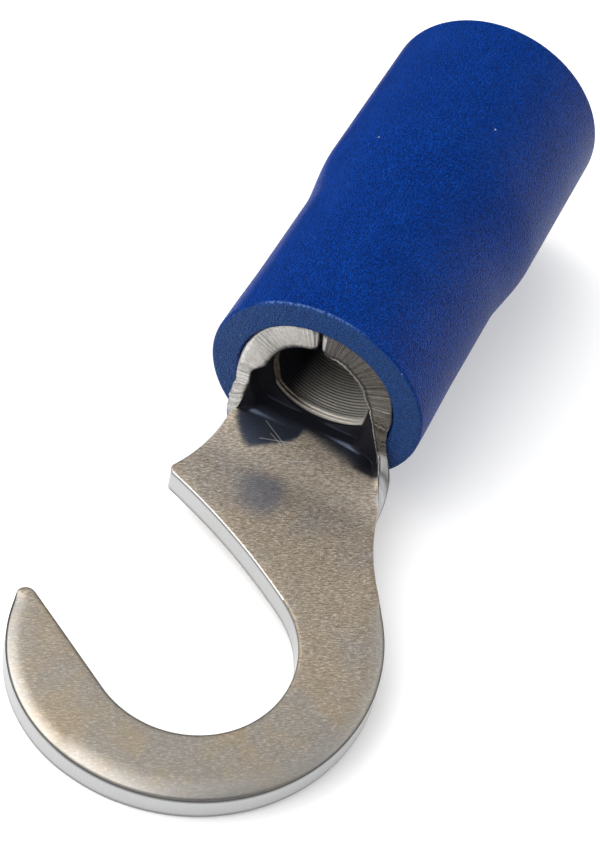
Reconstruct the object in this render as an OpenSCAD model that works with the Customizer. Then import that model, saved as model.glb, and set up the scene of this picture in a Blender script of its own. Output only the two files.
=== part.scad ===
// Insulated hook terminal: a stamped and rolled metal body in a moulded sleeve.
// Origin: centre of the hook's eye, on the underside of the tongue.
// +X runs along the barrel to the wire entry, +Y is the side where the hook opens, +Z is up.

/* [Hook] */
// Diameter of the eye that takes the screw
eye_d = 4.3; // [3.9:0.1:4.7]
// Outer radius of the hook's rim
rim_r = 4.01; // [3.7:0.01:4.4]
// Width of metal in front of the eye
band_front = 1.5; // [1.25:0.01:1.75]
// Width of metal beside the eye, on the closed side
band_side = 1.65; // [1.4:0.01:1.9]
// Direction of the mouth's free side, from the barrel axis
finger_angle = 60.8; // [56:0.1:66]
// Place on the eye where the mouth's other side leaves it
shank_angle = -33; // [-40:0.5:-28]
// Radius of the bowed side of the mouth
shank_bow_r = 15.25; // [13:0.05:18]
// Place on the rim where the finger starts to narrow
tip_angle = 166.9; // [160:0.1:172]
// Radius of the narrowing finger
tip_r = 3.26; // [3:0.01:3.5]
// Rounding of the finger's end
tip_round = 0.22; // [0.12:0.01:0.3]

/* [Tongue] */
// Thickness of the sheet
sheet_t = 0.7; // [0.5:0.05:0.9]
// Distance from the eye to the barrel's front edge
barrel_x = 6.3; // [6:0.05:7]
// Offset of the barrel axis towards the mouth side
barrel_y = 0.4; // [0.2:0.05:0.6]
// Width of the neck beside the axis, on the mouth side
neck_left = 1.58; // [1.4:0.01:1.75]
// Width of the neck beside the axis, on the closed side
neck_right = 2.25; // [2.05:0.01:2.35]
// Hollow curve between the rim and the neck, on the closed side
neck_fillet_r = 5; // [4.2:0.1:6]
// Hollow curve behind the shoulder, on the mouth side
shoulder_r = 3.6; // [3:0.02:4.2]
// Length of straight neck behind the shoulder's curve
shoulder_run = 1; // [0.9:0.05:1.2]
// Rounding of the shoulder's corner
shoulder_round = 0.15; // [0.1:0.01:0.25]
// Distance ahead of the barrel where the mouth side folds up
fold_lead = 0.54; // [0.5:0.01:0.6]
// Length of that fold
fold_run = 0.22; // [0.18:0.01:0.26]
// How far the cut edge leans forward on the mouth side
lean_left = 0.46; // [0.38:0.01:0.48]
// Distance ahead of the barrel where the closed side starts to turn up as a wing
wing_lead = 1.4; // [1.2:0.05:1.6]
// Distance ahead of the barrel where the wing closes in on it
wing_end = 0.22; // [0.2:0.01:0.26]
// Width of the flat floor beside the axis at that place
wing_floor = 1.35; // [1.25:0.01:1.5]
// Bend radius of the wing, at the middle of the sheet
wing_bend_r = 0.5; // [0.45:0.01:0.6]
// How far the cut edge leans forward on the closed side
lean_right = 0.2; // [0.12:0.01:0.22]
// Share of the sheet's thickness that the wings lose
wing_thin = 0.3; // [0.1:0.01:0.35]

/* [Barrel] */
// Inside diameter of the barrel
bore_d = 2.2; // [1.9:0.05:2.5]
// Length of the barrel
barrel_len = 4.8; // [4.4:0.05:5.2]
// Gap left at the butted seam
seam_gap = 0.06; // [0.03:0.01:0.12]
// Distance of the seam from the barrel's middle, towards the mouth side
seam_offset = 0.22; // [0:0.02:0.3]
// Flare of the bore at the wire end
bell_mouth = 0.25; // [0.1:0.01:0.4]
// Distance from the front edge to the wide ring in the bore
ring_from_front = 0.5; // [0.4:0.02:0.6]
// Width of that ring
ring_w = 0.18; // [0.1:0.01:0.24]
// Depth of that ring
ring_depth = 0.1; // [0.05:0.01:0.15]
// Number of fine grooves behind the ring
groove_count = 12; // [6:1:14]
// Spacing of the fine grooves
groove_pitch = 0.1; // [0.08:0.005:0.12]
// Depth of the fine grooves
groove_depth = 0.03; // [0.02:0.005:0.04]

/* [Sleeve] */
// Diameter of the sleeve's front half
sleeve_front_d = 4.98; // [4.7:0.02:5.2]
// Diameter of the sleeve's rear half
sleeve_rear_d = 5.32; // [5.2:0.02:5.8]
// Length of the sleeve
sleeve_len = 10.3; // [9:0.1:12]
// How far the sleeve stands ahead of the barrel's front edge
sleeve_proud = 0.08; // [0:0.01:0.1]
// Distance from the front face to the start of the step
step_from_front = 4.3; // [4:0.05:4.8]
// Length of the step
step_len = 1.9; // [1.2:0.05:2]
// Wall around the wire entry
rear_wall = 0.5; // [0.35:0.01:0.6]
// Rounding of the front rim
front_round = 0.07; // [0.05:0.01:0.25]
// Rounding of the rear rim
rear_round = 0.12; // [0.1:0.01:0.22]
// Gap between the sleeve and the barrel
fit_gap = 0.02; // [0.01:0.005:0.05]

/* [Hidden] */

eye_r = eye_d / 2;
bore_r = bore_d / 2;
barrel_r = bore_r + sheet_t;
middle_r = bore_r + sheet_t / 2;
axis_z = barrel_r;
flat_x = barrel_x - wing_lead;
fold_bend_r = max(0.5, sheet_t / 2 + 0.1);
wing_r = max(wing_bend_r, sheet_t / 2 + 0.1);
wing_close = 0.12;
wing_turn = 80;
cut_power = 1.8;
cut_left_v = middle_r * 134 * PI / 180;
cut_right_v = middle_r * 118 * PI / 180;
throat_lip = 0.01;
arc_step = 5;
round_step = 15;
roll_strips = 28;
step_points = 10;
groove_lead = 0.15;
neck_lap = 0.15;
neck_inset = 0.012;
over = 1;

// A point at radius r and angle a from centre c
function polar(c, r, a) = [c.x + r * cos(a), c.y + r * sin(a)];

// Points along an arc, ends included
function arc(c, r, a0, a1, step = arc_step) =
    let (n = max(2, ceil(abs(a1 - a0) / step)))
    [for (i = [0:n]) polar(c, r, a0 + (a1 - a0) * i / n)];

// The angle of point p as seen from c
function bearing(c, p) = atan2(p.y - c.y, p.x - c.x);

// Where two circles meet, on the left of the line from c1 to c2 for side 1, on its right for side -1
function circles_meet(c1, r1, c2, r2, side) =
    let (d = norm(c2 - c1), u = (c2 - c1) / d)
    let (a = (r1 * r1 - r2 * r2 + d * d) / (2 * d), h = sqrt(r1 * r1 - a * a))
    c1 + a * u + side * h * [-u.y, u.x];

// Where the line at distance off from the origin, running at angle a, meets a circle, far end
function line_meets(a, off, c, r) =
    let (u = [cos(a), sin(a)], foot = off * [-u.y, u.x])
    let (b = (foot - c) * u, k = (foot - c) * (foot - c) - r * r)
    foot + (sqrt(b * b - k) - b) * u;

// Rounds its way up from 0 to 1, flat at both ends
function ease(s) = s * s * (3 - 2 * s);

// The same between two limits, level outside them
function rise(x, from, to) = ease(min(1, max(0, (x - from) / (to - from))));

// Hook: the rim, the finger and its rounded end
rim_c = [rim_r - eye_r - band_front, rim_r - eye_r - band_side];
tip_c = polar(rim_c, rim_r - tip_r, tip_angle);
throat_off = eye_r - throat_lip;
tip_round_c = line_meets(finger_angle, throat_off + tip_round, tip_c, tip_r - tip_round);

// Tongue: the curve on the closed side, the shoulder and the bowed side of the mouth
neck_corner = [barrel_x - lean_right, barrel_y - neck_right];
neck_c = circles_meet(rim_c, rim_r + neck_fillet_r, neck_corner, neck_fillet_r, -1);
shoulder_x = barrel_x - shoulder_run;
shoulder_c = [shoulder_x, barrel_y + neck_left + shoulder_r];
bow_c = polar([0, 0], shank_bow_r - throat_off, shank_angle + 180);
nose_c = circles_meet(bow_c, shank_bow_r + shoulder_round, shoulder_c, shoulder_r + shoulder_round, -1);

// Edges of the neck at a distance x from the eye
function edge_right(x) = neck_c.y + sqrt(pow(neck_fillet_r, 2) - pow(x - neck_c.x, 2));
function edge_left(x) = x >= shoulder_x
    ? barrel_y + neck_left
    : shoulder_c.y - sqrt(pow(shoulder_r, 2) - pow(x - shoulder_x, 2));

// Outline of the flat metal, from the closed side round the hook to the shoulder.
// Its way across the eye is a straight line that the eye's own circle removes.
function flat_outline() = concat(
    arc(neck_c, neck_fillet_r,
        bearing(neck_c, [flat_x, edge_right(flat_x)]), bearing(neck_c, rim_c)),
    arc(rim_c, rim_r, bearing(rim_c, neck_c), tip_angle - 360),
    arc(tip_c, tip_r, tip_angle, bearing(tip_c, tip_round_c)),
    arc(tip_round_c, tip_round, bearing(tip_c, tip_round_c), finger_angle - 90, round_step),
    [polar([0, 0], throat_off, finger_angle + 90)],
    arc(bow_c, shank_bow_r, shank_angle, bearing(bow_c, nose_c)),
    arc(nose_c, shoulder_round, bearing(nose_c, bow_c), bearing(nose_c, shoulder_c), round_step),
    arc(shoulder_c, shoulder_r, bearing(shoulder_c, nose_c),
        bearing(shoulder_c, [flat_x, edge_left(flat_x)])));

module flat_tongue() {
    linear_extrude(sheet_t) difference() {
        polygon(flat_outline());
        circle(r = eye_r);
    }
}

// Half widths of the sheet from the axis line: the neck's edge, then the cut edge that leans forward
function half_left(x) = x <= barrel_x - lean_left
    ? edge_left(x) - barrel_y
    : neck_left + (cut_left_v - neck_left) * (1 - pow(max(0, barrel_x - x) / lean_left, 1 / cut_power));
function half_right(x) = x <= barrel_x - lean_right
    ? barrel_y - edge_right(x)
    : neck_right + (cut_right_v - neck_right) * (1 - pow(max(0, barrel_x - x) / lean_right, 1 / cut_power));

// Section of the folding sheet at x: half width of its flat floor, bend radius, largest turn
function section(x, v) =
    let (left = rise(x, barrel_x - fold_lead, barrel_x - fold_lead + fold_run))
    let (wing = pow(min(1, max(0, (x - flat_x) / (wing_lead - wing_end))), 1.5))
    let (close = rise(x, barrel_x - wing_end, barrel_x - wing_end + wing_close))
    let (start = neck_right + 0.05)
    v > 0
        ? [x > barrel_x - fold_lead ? (neck_left + 0.02) * (1 - left) : 2 * rim_r,
            fold_bend_r + (middle_r - fold_bend_r) * left, 220]
        : [x > flat_x ? (start - (start - wing_floor) * wing) * (1 - close) : 2 * rim_r,
            wing_r + (middle_r - wing_r) * close, wing_turn + 140 * close];

// Metal drawn off the inner and the outer skin in the wings
function thin_in(x, v) = wing_thin * sheet_t * (v > 0
    ? rise(x, barrel_x - 0.5, barrel_x - 0.35) * rise(v, 1.3, 1.7) * (1 - rise(v, 2.1, 2.5))
    : 0.8 * rise(x, barrel_x - 0.8, barrel_x - 0.3) * rise(-v, 1.6, 2.2) * (1 - rise(-v, 2.4, 2.9)));
function thin_out(x, v) = v > 0 ? 0 : wing_thin * sheet_t * rise(-v, 1.6, 2.2)
    * rise(x, barrel_x - 1.4, barrel_x - 0.5) * (1 - rise(x, barrel_x - 0.2, barrel_x - 0.05));

// How far the inner skin's low slopes are pressed to a flat floor that runs into the barrel's mouth
function pressed(x, v, above) = max(0, above) * (1 - rise(above, 0.45, 0.85))
    * rise(x, barrel_x - 1, barrel_x - 0.6) * (v > 0 ? 1 - rise(v, 1.42, 1.56) : 1 - rise(-v, 1.85, 2.1));

// One point of the folding sheet: v is measured across the flat sheet from the axis, h from its middle
function folded(x, v, h) =
    let (s = section(x, v), w = s[0], r = s[1], run = max(0, abs(v) - w))
    let (turn = min(run / r * 180 / PI, s[2]), flank = run - turn * PI / 180 * r)
    let (across = min(abs(v), w) + (r - h) * sin(turn) + flank * cos(turn))
    let (z = sheet_t / 2 + r * (1 - cos(turn)) + h * cos(turn) + flank * sin(turn))
    [x, barrel_y + sign(v) * across, z - (h > 0 ? pressed(x, v, z - sheet_t) : 0)];

// The part of the tongue that folds up from flat to the barrel's curve and ends inside its wall
module rolled_neck() {
    ahead = [
        for (i = [0:3]) wing_lead - (wing_lead - fold_lead - 0.04) * i / 4,
        fold_lead + 0.04, fold_lead, for (i = [1:4]) fold_lead - fold_run * i / 4,
        (fold_lead - fold_run + wing_end) / 2, wing_end,
        for (i = [1:3]) wing_end - wing_close * i / 3, 0.05, 0.01, 0, 0
    ];
    row = roll_strips + 1;
    last = len(ahead) - 1;
    face = row * (last + 1);
    points = [
        for (side = [1, -1])
        for (i = [0:last])
        for (j = [0:roll_strips])
        let (x = barrel_x - ahead[i], right = half_right(x), left = half_left(x))
        let (v = -right + (left + right) * j / roll_strips)
        let (inset = neck_inset * (1 - ahead[i] / wing_lead))
        folded(x, v, side > 0 ? sheet_t / 2 - inset - thin_in(x, v) : inset + thin_out(x, v) - sheet_t / 2)
            + [i == last ? neck_lap : 0, 0, 0]
    ];
    function quad(a, b, c, d) = [[a, b, c], [a, c, d]];
    function at(i, j, under) = under * face + i * row + j;
    skins = [
        for (i = [0:last - 1], j = [0:roll_strips - 1])
        each concat(
            quad(at(i, j, 0), at(i, j + 1, 0), at(i + 1, j + 1, 0), at(i + 1, j, 0)),
            quad(at(i, j, 1), at(i + 1, j, 1), at(i + 1, j + 1, 1), at(i, j + 1, 1)))
    ];
    sides = [
        for (i = [0:last - 1])
        each concat(
            quad(at(i, 0, 0), at(i + 1, 0, 0), at(i + 1, 0, 1), at(i, 0, 1)),
            quad(at(i, roll_strips, 0), at(i, roll_strips, 1),
                at(i + 1, roll_strips, 1), at(i + 1, roll_strips, 0)))
    ];
    ends = [
        for (j = [0:roll_strips - 1])
        each concat(
            quad(at(0, j, 0), at(0, j, 1), at(0, j + 1, 1), at(0, j + 1, 0)),
            quad(at(last, j, 0), at(last, j + 1, 0), at(last, j + 1, 1), at(last, j, 1)))
    ];
    polyhedron(points, concat(skins, sides, ends));
}

// Turns a profile drawn as [radius, distance] about the barrel axis, distance counted from place x
module about_axis(x) {
    translate([x, barrel_y, axis_z]) rotate([0, 90, 0]) children();
}

// Half section of the barrel's wall, with the ring, the fine grooves and the flared wire end
function barrel_profile() =
    let (grooves_at = ring_from_front + ring_w + groove_lead)
    concat(
        [[barrel_r, 0], [bore_r, 0]],
        [[bore_r, ring_from_front], [bore_r + ring_depth, ring_from_front + ring_w / 4],
         [bore_r + ring_depth, ring_from_front + ring_w * 3 / 4], [bore_r, ring_from_front + ring_w]],
        [for (i = [0:groove_count - 1]) each
            let (start = grooves_at + i * groove_pitch)
            [[bore_r, start], [bore_r + groove_depth, start + groove_pitch * 0.4],
             [bore_r, start + groove_pitch * 0.8]]],
        [[bore_r, barrel_len - bell_mouth], [bore_r + bell_mouth, barrel_len], [barrel_r, barrel_len]]);

module barrel() {
    difference() {
        about_axis(barrel_x) rotate_extrude() polygon(barrel_profile());
        translate([barrel_x - over, barrel_y + seam_offset - seam_gap / 2, axis_z])
            cube([barrel_len + 2 * over, seam_gap, barrel_r + over]);
    }
}

module terminal_body() {
    color([0.66, 0.63, 0.58]) {
        flat_tongue();
        rolled_neck();
        barrel();
    }
}

// Half section of the sleeve: tight on the barrel in front, wider behind it for the wire's own cover
function sleeve_profile() =
    let (front_r = sleeve_front_d / 2, rear_r = sleeve_rear_d / 2)
    let (seat_r = barrel_r + fit_gap, entry_r = rear_r - rear_wall)
    let (step_end = step_from_front + step_len)
    concat(
        arc([front_r - front_round, front_round], front_round, -90, 0, round_step),
        [for (i = [0:step_points])
            let (s = i / step_points)
            [front_r + (rear_r - front_r) * ease(s), step_from_front + step_len * s]],
        arc([rear_r - rear_round, sleeve_len - rear_round], rear_round, 0, 90, round_step),
        arc([entry_r + rear_round, sleeve_len - rear_round], rear_round, 90, 180, round_step),
        [[entry_r, step_end], [seat_r, barrel_len + sleeve_proud], [seat_r, 0]]);

module insulating_sleeve() {
    color([0.03, 0.16, 0.52]) about_axis(barrel_x - sleeve_proud)
        rotate_extrude() polygon(sleeve_profile());
}

terminal_body();
insulating_sleeve();
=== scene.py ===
import math
import bpy
import numpy as np
from mathutils import Matrix
from mathutils.geometry import delaunay_2d_cdt


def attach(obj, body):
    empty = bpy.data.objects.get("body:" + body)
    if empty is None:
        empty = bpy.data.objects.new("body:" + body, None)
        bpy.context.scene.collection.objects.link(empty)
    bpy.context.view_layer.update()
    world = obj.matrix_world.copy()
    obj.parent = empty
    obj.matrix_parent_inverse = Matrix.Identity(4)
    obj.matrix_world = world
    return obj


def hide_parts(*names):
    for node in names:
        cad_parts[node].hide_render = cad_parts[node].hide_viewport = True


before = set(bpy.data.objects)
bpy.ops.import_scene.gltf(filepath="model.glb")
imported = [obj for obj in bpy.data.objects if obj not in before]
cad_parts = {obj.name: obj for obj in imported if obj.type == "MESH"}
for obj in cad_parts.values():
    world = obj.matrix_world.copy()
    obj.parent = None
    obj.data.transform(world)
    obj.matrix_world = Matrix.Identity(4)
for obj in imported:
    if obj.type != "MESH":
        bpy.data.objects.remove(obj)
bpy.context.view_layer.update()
mm = 0.001
print("stage: frame loaded")


# wraps one output socket, so that + - * on values add Math nodes
class Signal:
    def __init__(self, graph, socket):
        self.graph = graph
        self.socket = socket

    # one Math node on two values
    def math(self, operation, first, second):
        return self.graph.node("ShaderNodeMath", {"operation": operation}, {0: first, 1: second})

    def __add__(self, other):
        return self.math("ADD", self, other)

    def __radd__(self, other):
        return self.math("ADD", other, self)

    def __sub__(self, other):
        return self.math("SUBTRACT", self, other)

    def __rsub__(self, other):
        return self.math("SUBTRACT", other, self)

    def __mul__(self, other):
        return self.math("MULTIPLY", self, other)

    def __rmul__(self, other):
        return self.math("MULTIPLY", other, self)


# one shader tree and the nodes made in it
class Graph:
    def __init__(self, tree):
        self.tree = tree
        tree.nodes.clear()

    # makes a node of a kind with its settings, links or sets its sockets, and gives one of its outputs
    def node(self, kind, settings, sockets, output=0):
        made = self.tree.nodes.new(kind)
        for name, value in settings.items():
            setattr(made, name, value)
        for name, value in sockets.items():
            socket = made.inputs[name]
            if isinstance(value, Signal):
                self.tree.links.new(value.socket, socket)
            elif socket.type == "RGBA":
                socket.default_value = (*value, 1)
            else:
                socket.default_value = value
        if made.outputs:
            return Signal(self, made.outputs[output])
        return None

    # mixes two colours by a value between 0 and 1
    def mix(self, share, first, second):
        return self.node("ShaderNodeMix", {"data_type": "RGBA"}, {0: share, 6: first, 7: second}, 2)

    # lays colours over a base, one after the other, each by its own share
    def layers(self, base, coats):
        for share, colour in coats:
            base = self.mix(share, base, colour)
        return base

    # 0 below low, 1 above high, smooth between
    def step(self, value, low, high):
        settings = {"interpolation_type": "SMOOTHSTEP"}
        return self.node("ShaderNodeMapRange", settings, {"Value": value, "From Min": low, "From Max": high})

    # soft noise on a vector, between 0 and 1
    def noise(self, where, scale, detail=2.0, rough=0.5):
        sockets = {"Vector": where, "Scale": scale, "Detail": detail, "Roughness": rough}
        return self.node("ShaderNodeTexNoise", {}, sockets)

    # soft noise along one value, between 0 and 1
    def noiseAlong(self, value, detail, rough=0.5):
        sockets = {"W": value, "Detail": detail, "Roughness": rough}
        return self.node("ShaderNodeTexNoise", {"noise_dimensions": "1D"}, sockets)

    # distance to the nearest of many scattered points
    def scatter(self, where, scale):
        return self.node("ShaderNodeTexVoronoi", {}, {"Vector": where, "Scale": scale}, "Distance")

    # one vector sum that gives a value, such as a distance or a dot product
    def measure(self, operation, first, second):
        return self.node("ShaderNodeVectorMath", {"operation": operation}, {0: first, 1: second}, "Value")

    # the piece's own millimetres
    def millimetres(self):
        coords = self.node("ShaderNodeTexCoord", {}, {}, "Object")
        return self.node("ShaderNodeMapping", {}, {"Vector": coords, "Scale": (1000, 1000, 1000)})

    # 1 along a straight scratch: the distance to the nearest point between its ends is under its half width
    def scratch(self, where, start, end):
        run = np.array(end) - np.array(start)
        length = float(np.linalg.norm(run))
        way = tuple(run / length)
        rest = self.node("ShaderNodeVectorMath", {"operation": "SUBTRACT"}, {0: where, 1: start})
        along = self.measure("DOT_PRODUCT", rest, way)
        along = along.math("MINIMUM", along.math("MAXIMUM", along, 0.0), length)
        foot = self.node("ShaderNodeVectorMath", {"operation": "SCALE"}, {0: way, "Scale": along})
        return self.step(self.measure("DISTANCE", rest, foot), 0.016, 0.006)

    # a value stored on the piece's own points
    def attribute(self, name):
        return self.node("ShaderNodeAttribute", {"attribute_name": name}, {}, "Fac")


# an empty material and the graph of its shader tree
def newMaterial(name):
    material = bpy.data.materials.new(name)
    material.use_nodes = True
    return material, Graph(material.node_tree)


# points on an arc: centre plus radius times (cos, sin) of evenly spaced angles in degrees
def arcPoints(centre, radius, fromAngle, toAngle, spacing):
    length = abs(math.radians(toAngle - fromAngle)) * radius
    count = max(3, int(math.ceil(length / spacing)) + 1)
    angles = np.radians(np.linspace(fromAngle, toAngle, count))
    return np.stack([centre[0] + radius * np.cos(angles), centre[1] + radius * np.sin(angles)], 1)


# points on a straight line, evenly spaced
def linePoints(start, end, spacing):
    start = np.array(start, float)
    end = np.array(end, float)
    count = max(2, int(math.ceil(np.linalg.norm(end - start) / spacing)) + 1)
    return start + (end - start) * np.linspace(0, 1, count)[:, None]


# the angle of a point as seen from a centre, in degrees
def bearing(centre, point):
    return math.degrees(math.atan2(point[1] - centre[1], point[0] - centre[0]))


# where two circles meet: along the line of centres, then to its left or right
def circlesMeet(c1, r1, c2, r2, side):
    c1 = np.array(c1, float)
    c2 = np.array(c2, float)
    d = np.linalg.norm(c2 - c1)
    u = (c2 - c1) / d
    a = (r1 * r1 - r2 * r2 + d * d) / (2 * d)
    h = math.sqrt(r1 * r1 - a * a)
    return c1 + a * u + side * h * np.array([-u[1], u[0]])


# smooth noise along a line: a height times seeded values at even places, joined by smooth steps
def ripple(s, height, wavelength, seed):
    length = 4096
    values = np.random.default_rng(seed).uniform(-1, 1, length)
    place = np.asarray(s) / wavelength
    low = np.floor(place).astype(int)
    part = place - low
    part = part * part * (3 - 2 * part)
    return height * (values[low % length] * (1 - part) + values[(low + 1) % length] * part)


# 0 below low, 1 above high, and three squares less two cubes of the way between
def smoothStep(value, low, high):
    part = np.clip((value - low) / (high - low), 0, 1)
    return part * part * (3 - 2 * part)


# rises over the first range and falls over the second
def band(value, rise, fall):
    return smoothStep(value, *rise) * (1 - smoothStep(value, *fall))


# puts vertex and face arrays, in millimetres, into a new object at the origin
def makePiece(name, points, faces, material, attributes):
    mesh = bpy.data.meshes.new(name)
    mesh.from_pydata((points * mm).tolist(), [], faces)
    for label, values in attributes.items():
        layer = mesh.attributes.new(label, "FLOAT", "POINT")
        layer.data.foreach_set("value", np.ascontiguousarray(values, dtype=np.float32))
    mesh.materials.append(material)
    mesh.shade_smooth()
    mesh.validate()
    piece = bpy.data.objects.new(name, mesh)
    bpy.context.scene.collection.objects.link(piece)
    return piece


# the metal body: sizes in millimetres, x along the barrel from the eye, v across it from the barrel's axis,
# s along the barrel from its front edge; a pair is the start and end of a smooth change
metal = {
    "sheet": 0.7, "eyeR": 2.15, "rimR": 4.01, "rimCentre": (0.36, 0.21), "tipAngle": 166.9, "tipR": 3.26,
    "tipRound": 0.22, "fingerAngle": 60.8, "shankAngle": -33, "bowR": 15.25, "barrelX": 6.3, "barrelY": 0.4,
    "neckLeft": 1.58, "neckRight": 2.25, "neckFillet": 5, "shoulderR": 3.6, "shoulderRun": 1.0,
    "shoulderRound": 0.15, "foldFrom": 5.76, "foldTo": 5.98, "foldR": 0.5,
    "floorLeft": 1.6, "floorRight": 2.3, "floorWing": 1.35, "wingFrom": 4.9, "wingTo": 6.08, "wingR": 0.5,
    "wingTurn": 1.4, "wingPower": 1.5, "closeTo": 6.2, "closeTurn": 3, "foldTurn": 4,
    "boreR": 1.1, "barrelLength": 4.8, "seamGap": 0.06, "seamShift": 0.2, "cornerRound": 0.12,
    "cutLeftX": 5.84, "cutRightX": 6.1, "leanLeft": 3.4, "leanRight": 3.0, "leanPower": 1.8,
    # width and drop of the upper rounding and size of the lower one, for each stretch of the edge
    "edges": {
        "cutRight": (0.05, 0.03, 0.07), "seam": (0.08, 0.06, 0.08), "rear": (0.03, 0.02, 0.04),
        "cutLeft": (0.05, 0.03, 0.07), "neckLeft": (0.05, 0.03, 0.05), "shank": (0.04, 0.025, 0.05),
        "eye": (0.09, 0.03, 0.03), "finger": (0.09, 0.03, 0.03), "tip": (0.06, 0.04, 0.04),
        "tipOuter": (0.34, 0.06, 0.05), "rim": (0.5, 0.09, 0.05), "neckRight": (0.1, 0.04, 0.05),
        "notch": (0.12, 0.12, 0.14),
    },
    "rollTilt": 38, "rollLean": 0.03, "creaseDepth": 0.012, "creaseRun": 0.12,
    # height, wavelength and seed of the marks on torn edges, of the edge's own waviness and of the burr,
    # whose width is counted in loops
    "tornRidge": (0.012, 0.045, 3), "tornSweep": (0.03, 0.25, 5), "tornPick": (0.008, 0.03, 11),
    "pickDrift": 0.05, "waveLeast": 0.004, "wave": (0.002, 0.4, 8),
    "burrFrom": (4.7, 5.0), "burrLift": (0.02, 0.05, 21), "burrLoop": 2.5, "burrWidth": (3.5, 0.12, 23),
    # the mouth, coined square
    "mouth": {
        "nearLeft": (5.84, 6.05), "nearRight": (6.05, 6.22), "far": (6.05, 6.5), "wing": (5.2, 6.05),
        "footLeft": 1.55, "footRight": 2.05, "flatLeft": 1.6, "flatRight": 2.1, "flatLoss": 0.2,
        "wallRun": 0.3, "wingLoss": 0.3, "nearLossLeft": 0.3, "farLossLeft": 0.13,
        "nearLossRight": 0.45, "farLossRight": 0.15,
        "lip": (6.42, 6.5), "lipLeft": 0.8, "lipRight": 0.4, "fade": (7.0, 7.8),
        "fromLeft": (5.7, 5.82), "fromRight": (4.9, 5.3),
    },
    # depths in the bore
    "relief": 0.06, "reliefRise": (-1.6, -0.1), "reliefFall": (0.26, 0.3),
    "landGroove": 0.03, "landAt": 0.37, "landWidth": 0.022,
    "behind": 0.05, "behindRise": (0.44, 0.49), "behindFall": (1.7, 1.9),
    "groove": 0.02, "grooveAt": 0.5, "groovePitch": 0.08, "grooveRise": (0.52, 0.58),
    "grooveFall": (1.65, 1.75),
    "flare": 0.2, "flareRise": (4.5, 4.8),
    "thinRight": 0.18, "thinRightAt": -0.2, "thinRightRun": 0.35, "thinRightV": ((1.6, 2.2), (2.4, 2.9)),
    "thinLeft": 0.28, "thinLeftS": ((-0.5, -0.35), (0.0, 0.2)), "thinLeftV": ((1.3, 1.7), (2.1, 2.5)),
    "thinOuter": 0.22, "thinOuterX": ((4.8, 5.8), (6.1, 6.25)), "thinOuterV": (1.6, 2.2),
    # grids of points on the skins: columns, rows and the least distance from the edge
    "grids": (
        (((-3.6, 4.2, 0.22),), (-3.8, 3.7, 0.22), 0.12),
        (((4.2, 5.7, 0.08), (5.7, 6.32, 0.03)), (-4.4, 4.4, 0.07), 0.04),
        (((6.34, 8.45, 0.0142), (8.5, 11.0, 0.1)), (-4.0, 4.85, 0.11), 0.04),
    ),
    # front border of the polished floor's painted dark reflection, as (v, x)
    "paintedReflection": ((-2.2, 5.7), (-1.98, 5.64), (-1.64, 5.55), (-0.92, 5.73), (-0.09, 5.94), (0.09, 5.6),
                  (0.4, 5.3), (0.78, 4.95), (1.0, 5.05), (1.3, 5.4), (1.5, 5.8), (1.7, 6.2)),
    # zones of the finish: painted shade in the mouth and bore, painted light on the bore's lit side and near
    # the mouth, a painted reflection on the floor, and the darker hook end
    "zones": {
        "wallLeftV": (1.2, 1.4), "wallLeftX": (5.74, 5.82), "wallRightV": (1.2, 1.7),
        "wallRightX": (5.6, 5.75), "wallRightEnd": (6.0, 6.2), "lit": ((-1.0, 0.2), (1.8, 2.6)),
        "lipRise": (6.55, 6.58), "lipFall": (6.76, 6.8), "floorEnd": (6.05, 6.2), "boreStart": (6.35, 6.5),
        "ridgedV": (2.1, 2.7), "crestX": 6.8, "softLeft": 0.12, "softRight": 0.4, "polishLead": -0.08,
        "polishFall": (6.5, 6.6),
        "inBore": (6.42, 6.5), "matt": (6.55, 6.6), "roughAndPaintedLight": ((4.2, 5.3), (6.0, 6.2)), "towardsHook": (-3.0, 3.5),
    },
}

# loops round the edge: the upper rounding, the wall, then the lower rounding at these angles
upperLoops = 7
wallLoops = 7
lowerTurns = (30, 60, 90)


# front cut of one half of the barrel: straight near the seam, leaning forward to the tongue's corner by
# a power of the distance still to go
def frontCut(m, side, end):
    near = m["neckLeft"] if side > 0 else m["neckRight"]
    lean = m["barrelX"] - (m["cutLeftX"] if side > 0 else m["cutRightX"])
    until = m["leanLeft"] if side > 0 else m["leanRight"]
    far = abs(end - m["barrelY"])
    v = np.linspace(near, far, int((far - near) / 0.02))
    x = m["barrelX"] - lean * np.clip((until - v) / (until - near), 0, 1) ** m["leanPower"]
    points = np.stack([x, m["barrelY"] + side * v], 1)
    return points[::-1] if side > 0 else points


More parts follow.
